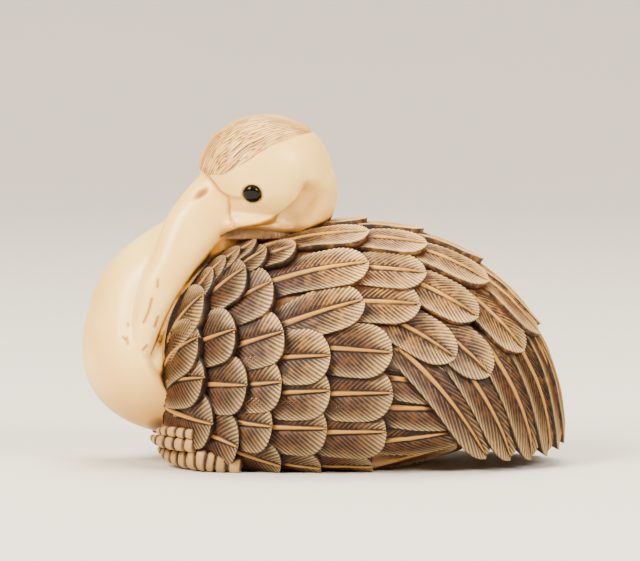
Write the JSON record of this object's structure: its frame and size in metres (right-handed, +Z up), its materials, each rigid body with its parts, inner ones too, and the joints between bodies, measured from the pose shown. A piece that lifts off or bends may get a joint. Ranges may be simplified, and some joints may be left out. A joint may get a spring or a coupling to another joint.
{
  "type": "netsuke",
  "caption": "Carved ivory netsuke of a resting crane, its head turned back and its long beak laid down along the folded neck, with inlaid horn eyes.",
  "frame": {"origin": "On the table plane, in the flat face that the crane's belly stands on", "axes": "-X where the breast faces, +X to the tail, -Y the bird's left side, +Z up"},
  "size_m": [0.0483, 0.0284, 0.0348],
  "materials": {
    "stained_ivory": null,
    "dark_horn": "polished dark buffalo horn"
  },
  "bodies": {
    "root": {"crane": "stained_ivory", "left_eye": "dark_horn", "right_eye": "dark_horn"}
  },
  "joints": []
}
